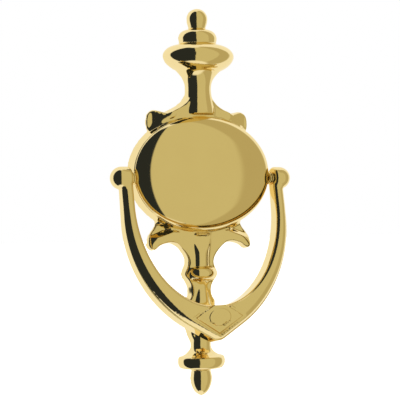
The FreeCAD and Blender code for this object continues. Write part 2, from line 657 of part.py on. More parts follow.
def bail_outline():
    """The flat front of the upright bail: two bends that meet at a blunt tip, a half oval inside."""
    top = -0.35 * BALL_R
    tip_z = on_bail(TIP_Z)
    sweep = radians(90 - TIP_SLOPE)
    slope = radians(TIP_SLOPE)
    edge_x = ARM_OUTER - BEND_R * (1 - cos(sweep))
    point_z = tip_z - TIP_ROUND * (1 / cos(slope) - 1)
    edge_z = point_z + edge_x * sin(slope) / cos(slope)
    start_z = edge_z + BEND_R * sin(sweep)
    halfway = (ARM_OUTER - BEND_R * (1 - cos(sweep / 2)), 0, start_z - BEND_R * sin(sweep / 2))
    round_x = TIP_ROUND * sin(slope)
    round_z = point_z + round_x * sin(slope) / cos(slope)
    right = trail((ARM_INNER, 0, top), [
        (ARM_OUTER, 0, top),
        (ARM_OUTER, 0, start_z),
        [halfway, (edge_x, 0, edge_z)],
        (round_x, 0, round_z),
    ])
    left = [edge.mirror(V(0, 0, 0), ACROSS) for edge in right]
    tip = Part.Arc(V(round_x, 0, round_z), V(0, 0, tip_z), V(-round_x, 0, round_z)).toShape()
    bend_top = on_bail(-BEND_START)
    inner = [half_oval(ARM_INNER, bend_top - on_bail(BEND_BOTTOM), bend_top)]
    for side in (1, -1):
        inner.append(Part.LineSegment(V(side * ARM_INNER, 0, top), V(side * ARM_INNER, 0, bend_top)).toShape())
    face = Part.Face(Part.Wire(Part.__sortEdges__(right + [tip] + left + inner)))
    face.translate(V(0, BAIL_FRONT_Y, 0))
    return face


def half_oval(half_w, fall, top):
    """The lower half of an ellipse as one edge."""
    centre = V(0, 0, top)
    low, side = V(0, 0, top - fall), V(half_w, 0, top)
    if fall >= half_w:
        return Part.ArcOfEllipse(Part.Ellipse(low, side, centre), radians(-90), radians(90)).toShape()
    return Part.ArcOfEllipse(Part.Ellipse(side, low, centre), 0, radians(180)).toShape()


def wedge():
    """The space between the upright bail's front and its slanting back, wider than the bail."""
    low = on_bail(TIP_Z) - TIP_ROUND
    half = ARM_OUTER + 1
    ring = [
        V(-half, BAIL_FRONT_Y - 1, 0),
        V(-half, BAIL_FRONT_Y - 1, low),
        V(-half, BAIL_FRONT_Y + ARM_THICK - THICKENING * low, low),
        V(-half, BAIL_FRONT_Y + ARM_THICK, 0),
    ]
    return Part.Face(Part.makePolygon(ring + [ring[0]])).extrude(V(2 * half, 0, 0))


def bail_loop():
    """The upright loop of the bail, its long edges rounded."""
    depth = ARM_THICK - THICKENING * on_bail(TIP_Z) + 1
    loop = bail_outline().extrude(V(0, depth, 0)).common(wedge())
    for radius, is_front in ((FRONT_ROUND, True), (REAR_ROUND, False)):
        long_edges = []
        for edge in loop.Edges:
            middle = edge.valueAt(0.5 * (edge.FirstParameter + edge.LastParameter))
            box = edge.BoundBox
            on_front = abs(box.YMin - BAIL_FRONT_Y) < 0.01 and box.YLength < 0.01
            rear_y = BAIL_FRONT_Y + ARM_THICK - THICKENING * middle.z
            chosen = on_front if is_front else abs(middle.y - rear_y) < 0.01
            if chosen and edge.Length > 1.2 * TIP_ROUND or chosen and abs(middle.x) < 0.01:
                long_edges.append(edge)
        loop = loop.makeFillet(radius, long_edges)
    return loop


def lozenge():
    """The upright lozenge with its oval panel, both standing out from the bail's front."""
    middle = on_bail(LOZENGE_Z)
    ring = [V(LOZENGE_HALF_W, 0, middle), V(0, 0, middle - LOZENGE_HALF_H),
            V(-LOZENGE_HALF_W, 0, middle), V(0, 0, middle + LOZENGE_HALF_H)]
    plate = Part.Face(Part.makePolygon(ring + [ring[0]]))
    plate.translate(V(0, BAIL_FRONT_Y - LOZENGE_PROUD, 0))
    oval = Part.Ellipse(V(PANEL_HALF_W, 0, middle), V(0, 0, middle + PANEL_HALF_H), V(0, 0, middle))
    panel = Part.Face(Part.Wire(oval.toShape()))
    panel.translate(V(0, BAIL_FRONT_Y - LOZENGE_PROUD - PANEL_PROUD, 0))
    backing = LOZENGE_PROUD + FRONT_ROUND + 1
    raised = plate.extrude(V(0, backing, 0)).fuse(panel.extrude(V(0, backing, 0)))
    room = bail_outline()
    room.translate(V(0, -LOZENGE_PROUD - PANEL_PROUD - 1, 0))
    return raised.common(room.extrude(V(0, backing + PANEL_PROUD + 2, 0)))


def ball_end():
    """The right-hand ball: a short barrel along the pivot line with a domed outer end."""
    profile = trail((BALL_FLAT, 0, 0), [
        (BALL_FLAT, 0, BALL_R - BALL_CHAMFER),
        (BALL_FLAT + BALL_CHAMFER, 0, BALL_R),
        (BALL_X, 0, BALL_R),
        [(BALL_X + BALL_R * cos(radians(45)), 0, BALL_R * sin(radians(45))), (BALL_X + BALL_R, 0, 0)],
        (BALL_FLAT, 0, 0),
    ])
    ball = Part.Face(Part.Wire(profile)).revolve(V(0, 0, 0), ACROSS, 360)
    ball.translate(V(0, PIVOT_Y, 0))
    return ball


def bail():
    """The swinging bail: two arms, a heavy pointed bend, a ball at each end."""
    ball = ball_end()
    solid_bend = leaned(bail_outline().extrude(V(0, ARM_THICK - THICKENING * on_bail(TIP_Z), 0)))
    boss = cylinder(HAMMER_BOSS_R, V(0, HAMMER_SEAT_Y, STRIKE_Z), FRONT_SIDE, HAMMER_SHANK_L).common(solid_bend)
    body = leaned(bail_loop()).fuse([leaned(lozenge()), ball, mirrored(ball), boss])
    hub_room = cylinder(SPACER_R + HUB_GAP, V(BALL_FLAT, PIVOT_Y, 0), -ACROSS, ARM_W)
    blind = cylinder(THREAD_R, V(BALL_FLAT - 1, PIVOT_Y, 0), ACROSS, THREAD_L + BLIND_EXTRA + 1)
    hammer_hole = cylinder(HAMMER_SHANK_R, V(0, HAMMER_SEAT_Y + 1, STRIKE_Z), FRONT_SIDE,
                           HAMMER_SHANK_L + BLIND_EXTRA + 1)
    hammer_room = cylinder(HAMMER_BOSS_R + 0.3, V(0, HAMMER_SEAT_Y, STRIKE_Z), DOOR_SIDE, 20)
    cuts = [hub_room, mirrored(hub_room), blind, mirrored(blind), hammer_hole, hammer_room]
    return body.cut(cuts).removeSplitter()


# ------------------------------------------------------------------ the set
def build():
    """Every piece by its name."""
    cover = oval_cover()
    pieces = {
        "back_plate": back_plate(),
        "oval_cover": cover,
        "bail": bail(),
        "strike_stud": strike_stud(),
        "strike_washer": strike_washer(),
        "strike_nut": strike_nut(),
        "hammer_button": hammer_button(),
    }
    for side, sign in (("left", -1), ("right", 1)):
        pieces["cover_stud_" + side] = cover_stud(sign * STUD_X, cover)
        pieces["cover_washer_" + side] = cover_washer(sign * STUD_X)
        pieces["cover_nut_" + side] = cover_nut(sign * STUD_X)
        for name, shape in (("pivot_screw_", pivot_screw()), ("pivot_spacer_", pivot_spacer()),
                            ("thrust_washer_", thrust_washer())):
            pieces[name + side] = shape if sign > 0 else mirrored(shape)
    return pieces


os.makedirs("parts", exist_ok=True)
for piece_name, piece in build().items():
    solids = piece.Solids
    box = piece.BoundBox
    print(f"{piece_name:20s} solids {len(solids)} valid {piece.isValid()} volume {piece.Volume:9.1f}"
          f"  x {box.XMin:7.2f} {box.XMax:7.2f}  y {box.YMin:7.2f} {box.YMax:7.2f}  z {box.ZMin:7.2f} {box.ZMax:7.2f}")
    if len(solids) == 1:
        piece = solids[0]
    piece.exportStep(os.path.join("parts", piece_name + ".step"))
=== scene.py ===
"""A brass urn door knocker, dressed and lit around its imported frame."""

import json
import logging
import math
from dataclasses import dataclass, field
from enum import Enum
from typing import Any

import bpy
import numpy as np
from mathutils import Matrix, Vector
from mathutils.kdtree import KDTree


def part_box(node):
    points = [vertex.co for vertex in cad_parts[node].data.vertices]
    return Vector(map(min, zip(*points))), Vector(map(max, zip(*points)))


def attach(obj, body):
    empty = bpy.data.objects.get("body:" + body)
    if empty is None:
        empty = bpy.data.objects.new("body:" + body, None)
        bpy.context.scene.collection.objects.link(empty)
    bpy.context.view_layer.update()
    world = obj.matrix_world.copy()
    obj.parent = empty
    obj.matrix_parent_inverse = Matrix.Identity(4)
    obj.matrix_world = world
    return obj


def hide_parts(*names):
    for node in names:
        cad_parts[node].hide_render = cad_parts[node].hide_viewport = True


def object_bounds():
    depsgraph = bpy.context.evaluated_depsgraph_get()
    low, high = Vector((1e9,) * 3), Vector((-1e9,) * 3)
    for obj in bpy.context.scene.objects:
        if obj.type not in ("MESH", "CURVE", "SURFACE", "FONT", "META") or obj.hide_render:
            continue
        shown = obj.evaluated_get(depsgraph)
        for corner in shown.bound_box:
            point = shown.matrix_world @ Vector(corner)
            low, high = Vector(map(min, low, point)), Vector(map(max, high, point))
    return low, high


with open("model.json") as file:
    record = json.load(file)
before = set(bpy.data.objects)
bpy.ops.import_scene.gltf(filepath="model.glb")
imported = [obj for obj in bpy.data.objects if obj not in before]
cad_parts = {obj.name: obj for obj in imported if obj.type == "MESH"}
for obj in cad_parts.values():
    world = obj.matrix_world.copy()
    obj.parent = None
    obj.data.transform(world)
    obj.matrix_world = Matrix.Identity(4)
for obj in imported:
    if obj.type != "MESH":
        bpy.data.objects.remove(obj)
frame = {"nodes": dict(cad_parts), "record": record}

CAD_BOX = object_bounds()
LOG = logging.getLogger("knocker")
MM = 0.001


# ------------------------------------------------------------------ shader wiring
class Value:
    """One output socket of a shader node, which arithmetic can be done on."""

    def __init__(self, wires: "Wires", socket: bpy.types.NodeSocket) -> None:
        """Keeps the socket and the tree that it belongs to."""
        self.wires = wires
        self.socket = socket

    def __add__(self, other: Any) -> "Value":
        """This plus other."""
        return self.wires.math("ADD", self, other)

    def __radd__(self, other: Any) -> "Value":
        """Other plus this."""
        return self.wires.math("ADD", other, self)

    def __rsub__(self, other: Any) -> "Value":
        """Other less this."""
        return self.wires.math("SUBTRACT", other, self)

    def __mul__(self, other: Any) -> "Value":
        """This times other."""
        return self.wires.math("MULTIPLY", self, other)

    def __rmul__(self, other: Any) -> "Value":
        """Other times this."""
        return self.wires.math("MULTIPLY", other, self)


class Wires:
    """Adds nodes to one node tree and joins them."""

    def __init__(self, tree: bpy.types.NodeTree) -> None:
        """Starts the tree empty.

        Args:
            tree: the node tree of a material or of the surround.
        """
        self.tree = tree
        tree.nodes.clear()

    def node(self, kind: str, settings: dict[str, Any] | None = None,
             inputs: dict[str | int, Any] | None = None, output: str | int = 0) -> Value:
        """Adds one node.

        Args:
            kind: the node's type name.
            settings: its own settings, set before its sockets.
            inputs: a number, colour or Value for each socket, by name or place.
            output: the output socket to give back.

        Returns:
            The chosen output.
        """
        made = self.tree.nodes.new(kind)
        for name, value in (settings or {}).items():
            setattr(made, name, value)
        for name, value in (inputs or {}).items():
            if isinstance(value, Value):
                self.tree.links.new(value.socket, made.inputs[name])
            else:
                made.inputs[name].default_value = value
        return Value(self, made.outputs[output] if len(made.outputs) else None)

    def math(self, operation: str, first: Any, second: Any = 0.0) -> Value:
        """Adds a Math node on two values and gives its result."""
        return self.node("ShaderNodeMath", {"operation": operation}, {0: first, 1: second})

    def dot(self, vector: Value, fixed: tuple[float, float, float]) -> Value:
        """How far a direction reaches along a fixed one."""
        return self.node("ShaderNodeVectorMath", {"operation": "DOT_PRODUCT"},
                         {0: vector, 1: fixed}, "Value")

    def rise(self, value: Value, at: float, width: float) -> Value:
        """A soft step from 0 to 1, centred at one value and as wide as asked."""
        return self.node("ShaderNodeMapRange", {"interpolation_type": "SMOOTHSTEP"},
                         {"Value": value, "From Min": at - width / 2, "From Max": at + width / 2})

    def blend(self, factor: Any, first: Any, second: Any) -> Value:
        """Mixes two colours by a factor.

        Args:
            factor: 0 for the first, 1 for the second.
            first: a colour of four numbers, or a Value.
            second: the same.

        Returns:
            The mixed colour.
        """
        return self.node("ShaderNodeMix", {"data_type": "RGBA"}, {0: factor, 6: first, 7: second}, 2)


# ------------------------------------------------------------------ finishes
Colour = tuple[float, float, float]
Span = tuple[float, float]


def rgba(red: float, green: float, blue: float) -> tuple[float, float, float, float]:
    """A colour as four numbers."""
    return (red, green, blue, 1.0)


def new_material(name: str) -> tuple[bpy.types.Material, Wires]:
    """Makes an empty node material.

    Args:
        name: the material's name.

    Returns:
        The material and the wires of its tree.
    """
    material = bpy.data.materials.new(name)
    material.use_nodes = True
    return material, Wires(material.node_tree)


@dataclass(frozen=True)
class BrassFinish:
    """Lacquered brass: its colour, how bright the polish is, the marks that the wheel left, and shade
    painted into its creases.
    """

    name: str = "polished_brass"
    colour: Colour = (0.915, 0.745, 0.365)
    # A deeper brass tone, used both for the random clouding and as the painted shade in the creases.
    deep: Colour = (0.60, 0.36, 0.12)
    specular: Colour = (1.0, 0.96, 0.82)
    cloud_tint: float = 0.12
    # How far the creases are darkened towards the deep tone: painted shade, driven by the occlusion mask
    # below.
    painted_crease_shade: float = 0.55
    painted_shade_reach: float = 1.6 * MM
    painted_shade_step: Span = (0.45, 0.5)
    crease_dull: float = 0.12
    roughness: float = 0.055
    haze: float = 0.05
    scuff_step: Span = (0.62, 0.3)
    ripple_mm: float = 9.0
    ripple_height: float = 0.010 * MM
    edge_round: float = 0.35 * MM
    lacquer: Span = (0.12, 0.05)

    def material(self) -> bpy.types.Material:
        """Builds the material.

        Returns:
            The finished material.
        """
        material, wires = new_material(self.name)
        place = wires.node("ShaderNodeTexCoord", output="Object")
        cloud = wires.node("ShaderNodeTexNoise", inputs={"Vector": place, "Scale": 60.0, "Detail": 3.0})
        scuff = wires.node("ShaderNodeTexNoise", inputs={"Vector": place, "Scale": 900.0, "Detail": 4.0})
        # Ambient occlusion finds the creases. It paints shade into the base colour there and dulls the
        # roughness.
        crease = wires.node("ShaderNodeAmbientOcclusion",
                            {"samples": 6, "inside": False, "only_local": False},
                            {"Distance": self.painted_shade_reach}, "AO")
        painted_shade_mask = 1.0 - wires.rise(crease, *self.painted_shade_step)
        warm = wires.blend(cloud * self.cloud_tint, rgba(*self.colour), rgba(*self.deep))
        # Painted shade: the occluded creases are darkened towards the deep tone.
        colour = wires.blend(painted_shade_mask * self.painted_crease_shade, warm, rgba(*self.deep))
        scuffed = self.haze * wires.rise(scuff, *self.scuff_step) * cloud
        roughness = self.roughness + scuffed + self.crease_dull * painted_shade_mask
        ripple = wires.node("ShaderNodeTexNoise",
                            inputs={"Vector": place, "Scale": 1.0 / (self.ripple_mm * MM), "Detail": 1.0})
        rounded = wires.node("ShaderNodeBevel", {"samples": 6}, {"Radius": self.edge_round})
        surface = wires.node("ShaderNodeBump", inputs={"Strength": 1.0, "Distance": self.ripple_height,
                                                       "Height": ripple, "Normal": rounded})
        shader = wires.node("ShaderNodeBsdfPrincipled", inputs={
            "Base Color": colour, "Metallic": 1.0, "Roughness": roughness, "Normal": surface,
            "Coat Weight": self.lacquer[0], "Coat Roughness": self.lacquer[1],
            "Specular Tint": rgba(*self.specular),
        })
        wires.node("ShaderNodeOutputMaterial", inputs={"Surface": shader})
        return material


@dataclass(frozen=True)
class ZincFinish:
    """Bright zinc plate on steel, with a faint spangle and duller corners."""

    name: str = "zinc_steel"
    colour: Colour = (0.62, 0.64, 0.66)
    worn: Colour = (0.38, 0.37, 0.35)
    roughness: float = 0.26
    worn_tint: float = 0.35
    worn_dull: float = 0.12
    grain_height: float = 0.02 * MM

    def material(self) -> bpy.types.Material:
        """Builds the material.

        Returns:
            The finished material.
        """
        material, wires = new_material(self.name)
        place = wires.node("ShaderNodeTexCoord", output="Object")
        cells = {"Vector": place, "Scale": 700.0}
        spangle = wires.node("ShaderNodeTexVoronoi", inputs=cells, output="Color")
        grain = wires.node("ShaderNodeTexNoise", inputs={"Vector": place, "Scale": 1500.0, "Detail": 3.0})
        level = wires.dot(spangle, (0.33, 0.33, 0.33))
        colour = wires.blend(level * self.worn_tint, rgba(*self.colour), rgba(*self.worn))
        roughness = self.roughness + self.worn_dull * level
        surface = wires.node("ShaderNodeBump", inputs={"Strength": 0.4, "Distance": self.grain_height,
                                                       "Height": grain})
        shader = wires.node("ShaderNodeBsdfPrincipled", inputs={
            "Base Color": colour, "Metallic": 1.0, "Roughness": roughness, "Normal": surface,
        })
        wires.node("ShaderNodeOutputMaterial", inputs={"Surface": shader})
        return material


@dataclass(frozen=True)
class FloorFinish:
    """The studio's pale matt floor, lit evenly enough to read as white."""

    name: str = "studio_floor"
    colour: Colour = (0.92, 0.92, 0.92)
    shade: Colour = (0.88, 0.88, 0.88)
    glow: float = 0.9

    def material(self) -> bpy.types.Material:
        """Builds the material.

        Returns:
            The finished material.
        """
        material, wires = new_material(self.name)
        place = wires.node("ShaderNodeTexCoord", output="Object")
        mottle = wires.node("ShaderNodeTexNoise", inputs={"Vector": place, "Scale": 3.0})
        colour = wires.blend(mottle * 0.1, rgba(*self.colour), rgba(*self.shade))
        shader = wires.node("ShaderNodeBsdfPrincipled", inputs={
            "Base Color": colour, "Roughness": 0.9, "Emission Color": rgba(1.0, 1.0, 1.0),
            "Emission Strength": self.glow,
        })
        wires.node("ShaderNodeOutputMaterial", inputs={"Surface": shader})
        return material


# ------------------------------------------------------------------ studio
@dataclass
class Studio:
    """Camera, floor and the soft surround that the polished metal mirrors."""

    camera_turn: float = -26.2        # degrees round the door's normal, minus is the knocker's left
    distance: float = 0.6676
    height: float = -0.0142
    lens: float = 114.3
    shift: Span = (0.0062, 0.0135)
    roll: float = -0.012
    floor_below: float = 0.16
    floor_half: float = 8.0
    dark: Colour = (0.65 * 0.038, 0.79 * 0.038, 0.038)
    warm: Colour = (0.65, 0.613, 0.411)
    low: Colour = (0.53, 0.475, 0.292)
    dark_from: Span = (-86.0, 5.0)    # each an angle round from the camera and how soft its edge is
    warm_from: Span = (6.0, 3.0)
    low_from: Span = (73.0, 5.0)
    white_from: Span = (120.0, 8.0)
    lowest: Span = (-68.0, 8.0)
    highest: Span = (82.0, 8.0)

    def toward_camera(self) -> Vector:
        """The level direction from the knocker to the camera."""
        turn = math.radians(self.camera_turn)
        return Vector((math.sin(turn), -math.cos(turn), 0.0))

    def build(self) -> None:
        """Adds the camera, the floor and the surround."""
        self.add_camera()
        self.add_floor()
        self.add_surround()

    def add_camera(self) -> None:
        """Adds the camera, level and a little off the door's normal."""
        data = bpy.data.cameras.new("camera")
        data.lens = self.lens
        data.shift_x, data.shift_y = self.shift
        camera = bpy.data.objects.new("camera", data)
        bpy.context.scene.collection.objects.link(camera)
        stand = self.toward_camera() * self.distance + Vector((0.0, 0.0, self.height))
        turn = Matrix.Rotation(math.radians(self.camera_turn), 4, "Z")
        aim = turn @ Matrix.Rotation(math.radians(90.0), 4, "X") @ Matrix.Rotation(self.roll, 4, "Z")
        camera.matrix_world = Matrix.Translation(stand) @ aim
        bpy.context.scene.camera = camera

    def add_floor(self) -> None:
        """Adds the pale floor below the knocker."""
        bpy.ops.object.select_all(action="DESELECT")
        lowest = CAD_BOX[0][2] - self.floor_below
        bpy.ops.mesh.primitive_grid_add(x_subdivisions=4, y_subdivisions=4, size=2 * self.floor_half,
                                        location=(0.0, 0.0, lowest))
        floor = bpy.context.object
        floor.name = "studio_floor"
        floor.visible_glossy = False
        floor.data.materials.append(FloorFinish().material())

    def add_surround(self) -> None:
        """Wraps the scene in soft white, broken by the darker room that faces the knocker."""
        world = bpy.data.worlds.new("studio_surround")
        world.use_nodes = True
        bpy.context.scene.world = world
        wires = Wires(world.node_tree)
        way = wires.node("ShaderNodeTexCoord", output="Generated")
        front = self.toward_camera()
        right = Vector((-front.y, front.x, 0.0))
        ahead = wires.dot(way, tuple(front))
        aside = wires.dot(way, tuple(right))
        degrees = 180.0 / math.pi
        round_angle = wires.math("ARCTAN2", aside, ahead) * degrees
        lift = wires.math("ARCSINE", wires.dot(way, (0.0, 0.0, 1.0))) * degrees
        wall = wires.blend(wires.rise(round_angle, *self.warm_from), rgba(*self.dark), rgba(*self.warm))
        wall = wires.blend(wires.rise(round_angle, *self.low_from), wall, rgba(*self.low))
        inside = wires.rise(round_angle, *self.dark_from)
        inside = inside * (1.0 - wires.rise(round_angle, *self.white_from))
        inside = inside * wires.rise(lift, *self.lowest) * (1.0 - wires.rise(lift, *self.highest))
        white = rgba(1.0, 1.0, 1.0)
        seen = wires.blend(inside, white, wall)
        straight = wires.node("ShaderNodeLightPath", output="Is Camera Ray")
        colour = wires.blend(straight, seen, white)
        shader = wires.node("ShaderNodeBackground", inputs={"Color": colour, "Strength": 1.0})
        wires.node("ShaderNodeOutputWorld", inputs={"Surface": shader})
        bpy.context.scene.view_settings.view_transform = "Standard"


# ------------------------------------------------------------------ mesh work
class Slot(Enum):
    """The record's material slots."""

    POLISHED = "polished_brass"
    TURNED = "turned_brass"
    ZINC = "zinc_steel"


def select_only(piece: bpy.types.Object) -> None:
    """Deselects everything, then selects one piece and makes it active.

    Args:
        piece: the piece to work on.
    """
    if bpy.context.object and bpy.context.object.mode != "OBJECT":
        bpy.ops.object.mode_set(mode="OBJECT")
    bpy.ops.object.select_all(action="DESELECT")
    piece.select_set(True)
    bpy.context.view_layer.objects.active = piece


def finish_modifier(piece: bpy.types.Object, kind: str, **settings: Any) -> None:
    """Adds a modifier to a piece and applies it.

    Args:
        piece: the piece to change.
        kind: the modifier's type name.
        settings: the modifier's own settings.
    """
    select_only(piece)
    modifier = piece.modifiers.new(kind.lower(), kind)
    for name, value in settings.items():
        setattr(modifier, name, value)
    bpy.ops.object.modifier_apply(modifier=modifier.name)


def merged_copy(node: str, name: str) -> bpy.types.Object:
    """Copies a node's mesh and merges its loose triangles.

    Args:
        node: the frame's node.
        name: the new piece's name.

    Returns:
        The copy, a closed mesh.
    """
    piece = bpy.data.objects.new(name, frame["nodes"][node].data.copy())
    bpy.context.scene.collection.objects.link(piece)
    piece.data.materials.clear()
    select_only(piece)
    bpy.ops.object.mode_set(mode="EDIT")
    bpy.ops.mesh.select_all(action="SELECT")
    bpy.ops.mesh.remove_doubles(threshold=0.001 * MM)
    bpy.ops.object.mode_set(mode="OBJECT")
    return piece


def points_of(piece: bpy.types.Object) -> np.ndarray:
    """A piece's points, one row each, in metres."""
    flat = np.empty(3 * len(piece.data.vertices))
    piece.data.vertices.foreach_get("co", flat)
    return flat.reshape(-1, 3)


def normals_of(piece: bpy.types.Object) -> np.ndarray:
    """The outward direction at each of a piece's points, one row each."""
    flat = np.empty(3 * len(piece.data.vertices))
    piece.data.vertices.foreach_get("normal", flat)
    return flat.reshape(-1, 3)


def put_points(piece: bpy.types.Object, points: np.ndarray) -> None:
    """Moves a piece's points to new places."""
    piece.data.vertices.foreach_set("co", points.ravel())
    piece.data.update()


def soft_step(values: np.ndarray, low: float, high: float) -> np.ndarray:
    """0 below low, 1 above high and a smooth curve between.

    Args:
        values: the values to step.
        low: where the step starts.
        high: where it ends.

    Returns:
        A number from 0 to 1 for each value.
    """
    part = np.clip((values - low) / (high - low), 0.0, 1.0)
    return part * part * (3.0 - 2.0 * part)


@dataclass
class MadePiece:
    """A modelled piece: the node it stands for, its name, the body it rides on and its slot."""

    node: str
    name: str
    body: str
    slot: Slot

    def build(self) -> bpy.types.Object:
        """Models the piece; each kind does it its own way."""
        raise NotImplementedError

    def dress(self, piece: bpy.types.Object, finishes: dict[Slot, bpy.types.Material]) -> None:
        """Gives the piece its finish, sets it on its body and hides the node that it stands for.

        Args:
            piece: the modelled piece.
            finishes: the material for each slot.
        """
        piece.data.materials.clear()
        piece.data.materials.append(finishes[self.slot])
        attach(piece, self.body)
        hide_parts(self.node)


# ------------------------------------------------------------------ castings
@dataclass
class Casting(MadePiece):
    """A cast and polished body: its node, with every edge softened by the wheel."""

    grain: float
    rounds: int

    def build(self) -> bpy.types.Object:
        """Models the casting.

        Returns:
            The finished piece.
        """
        piece = merged_copy(self.node, self.name)
        finish_modifier(piece, "REMESH", mode="VOXEL", voxel_size=self.grain * MM)
        self.shape(piece)
        finish_modifier(piece, "SMOOTH", factor=0.5, iterations=self.rounds)
        self.keep_inside(piece)
        select_only(piece)
        bpy.ops.object.shade_smooth()
        return piece

    def shape(self, piece: bpy.types.Object) -> None:
        """Works the surface before it is smoothed; a plain casting needs nothing."""

    def keep_inside(self, piece: bpy.types.Object) -> None:
        """Holds the piece inside its node's box."""
        low, high = (np.array(corner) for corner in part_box(self.node))
        put_points(piece, np.clip(points_of(piece), low, high))


@dataclass
class BailCasting(Casting):
    """The bail, whose lozenge and oval panel stand out crisply from its flat front."""

    lozenge: Span = (13.2, 8.3)
    panel: Span = (6.0, 4.4)
    centre_z: float = -71.0
    proud: float = 0.7
    panel_proud: float = 0.35
    step: float = 0.4
    badge_depth: float = -12.0        # the badge lies in front of this
    badge_margin: float = 1.2
    badge_facing: float = 0.72
    plain_facing: float = 0.97
    plain_band: Span = (2.4, 0.9)     # the flat metal round the badge that its slope is taken from
    refine_reach: Span = (1.0, 0.9)
    bend_centre: float = -8.0
    bore_reach: float = 8.5
    bore_bottom: float = -78.0
    wall_facing: float = 0.3
    wall_top: float = -6.0
    front_facing: float = 0.25
    front_top: float = -5.0
    lean: float = 11.7
    front_level: float = -10.28
    arm_round: float = 3.4
    bend_round: float = 6.2
    bend_from: float = 14.0
    bend_span: float = 44.0
    deepest_roll: float = 0.72

    def shape(self, piece: bpy.types.Object) -> None:
        """Rolls the front over towards the outer edge, more at the bend than on the arms."""
        points = points_of(piece) / MM
        normals = normals_of(piece)
        tree = self.outer_wall(points, normals)
        front = (points[:, 2] < self.front_top) & (normals[:, 1] < self.front_facing)
        for index in np.nonzero(front)[0]:
            x, y, z = points[index]
            edge = tree.find((x, 0.0, z))[2]
            bent = min(max((-z - self.bend_from) / self.bend_span, 0.0), 1.0)
            radius = self.arm_round + (self.bend_round - self.arm_round) * bent
            if edge < radius:
                drop = radius - math.sqrt(radius ** 2 - (radius - edge) ** 2)
                points[index, 1] = max(y, self.front_at(z) + min(drop, self.deepest_roll * radius))
        put_points(piece, points * MM)

    def outer_wall(self, points: np.ndarray, normals: np.ndarray) -> KDTree:
        """Finds the bail's outer side, leaving out the button's bore.

        Args:
            points: the casting's points, in mm.
            normals: the outward direction at each.

        Returns:
            A search tree of the side's points, with their depth left out.
        """
        outward = normals[:, 0] * points[:, 0] + normals[:, 2] * (points[:, 2] - self.bend_centre)
        in_bore = np.hypot(points[:, 0], points[:, 2] - self.centre_z) < self.bore_reach
        in_bore = in_bore & (points[:, 2] > self.bore_bottom)
        wall = (np.abs(normals[:, 1]) < self.wall_facing) & (outward > 0.0)
        wall = wall & (points[:, 2] < self.wall_top) & ~in_bore
        tree = KDTree(int(wall.sum()))
        for place, (x, _, z) in enumerate(points[wall]):
            tree.insert((x, 0.0, z), place)
        tree.balance()
        return tree

    def front_at(self, height: float) -> float:
        """Where the flat front lies at a height, in mm."""
        return self.front_level - math.tan(math.radians(self.lean)) * -height

    def badge(self, places: np.ndarray) -> tuple[np.ndarray, np.ndarray]:
        """How far places lie outside the badge's two outlines.

        Args:
            places: one row for each place, in mm.

        Returns:
            The distance outside the lozenge and outside the oval, less than 0 within them.
        """
        across, height = np.abs(places[:, 0]), np.abs(places[:, 2] - self.centre_z)
        half_w, half_h = self.lozenge
        share = across / half_w + height / half_h - 1.0
        outward = share * half_w * half_h / math.hypot(half_w, half_h)
        oval = (np.hypot(across / self.panel[0], height / self.panel[1]) - 1.0) * self.panel[1]
        return outward, oval

    def refine(self, piece: bpy.types.Object) -> None:
        """Halves the faces under the badge's outlines, so that they come out crisp."""
        faces = piece.data.polygons
        centres = np.empty(3 * len(faces))
        faces.foreach_get("center", centres)
        centres = centres.reshape(-1, 3) / MM
        outward, oval = self.badge(centres)
        near = (np.abs(outward) < self.refine_reach[0]) | (np.abs(oval) < self.refine_reach[1])
        select_only(piece)
        bpy.ops.object.mode_set(mode="EDIT")
        bpy.ops.mesh.select_all(action="DESELECT")
        bpy.ops.mesh.select_mode(type="FACE")
        bpy.ops.object.mode_set(mode="OBJECT")
        faces.foreach_set("select", (centres[:, 1] < self.badge_depth) & near)
        bpy.ops.object.mode_set(mode="EDIT")
        bpy.ops.mesh.subdivide(number_cuts=1)
        bpy.ops.object.mode_set(mode="OBJECT")

    def keep_inside(self, piece: bpy.types.Object) -> None:
        """Redraws the raised badge on the smoothed front, then holds the piece in its box."""
        self.refine(piece)
        points = points_of(piece) / MM
        facing = -normals_of(piece)[:, 1]
        outward, oval = self.badge(points)
        deep = points[:, 1] < self.badge_depth
        front = (facing > self.badge_facing) & deep & (outward < self.badge_margin)
        middle, half_band = self.plain_band
        plain = (facing > self.plain_facing) & deep & (np.abs(outward - middle) < half_band)
        grid = np.column_stack([points[plain][:, 2], np.ones(int(plain.sum()))])
        slope, level = np.linalg.lstsq(grid, points[plain][:, 1], rcond=None)[0]
        raised = self.proud * soft_step(-outward, -self.step / 2, self.step / 2)
        raised = raised + self.panel_proud * soft_step(-oval, -self.step / 2, self.step / 2)
        points[front, 1] = (slope * points[:, 2] + level - raised)[front]
        put_points(piece, points * MM)
        super().keep_inside(piece)


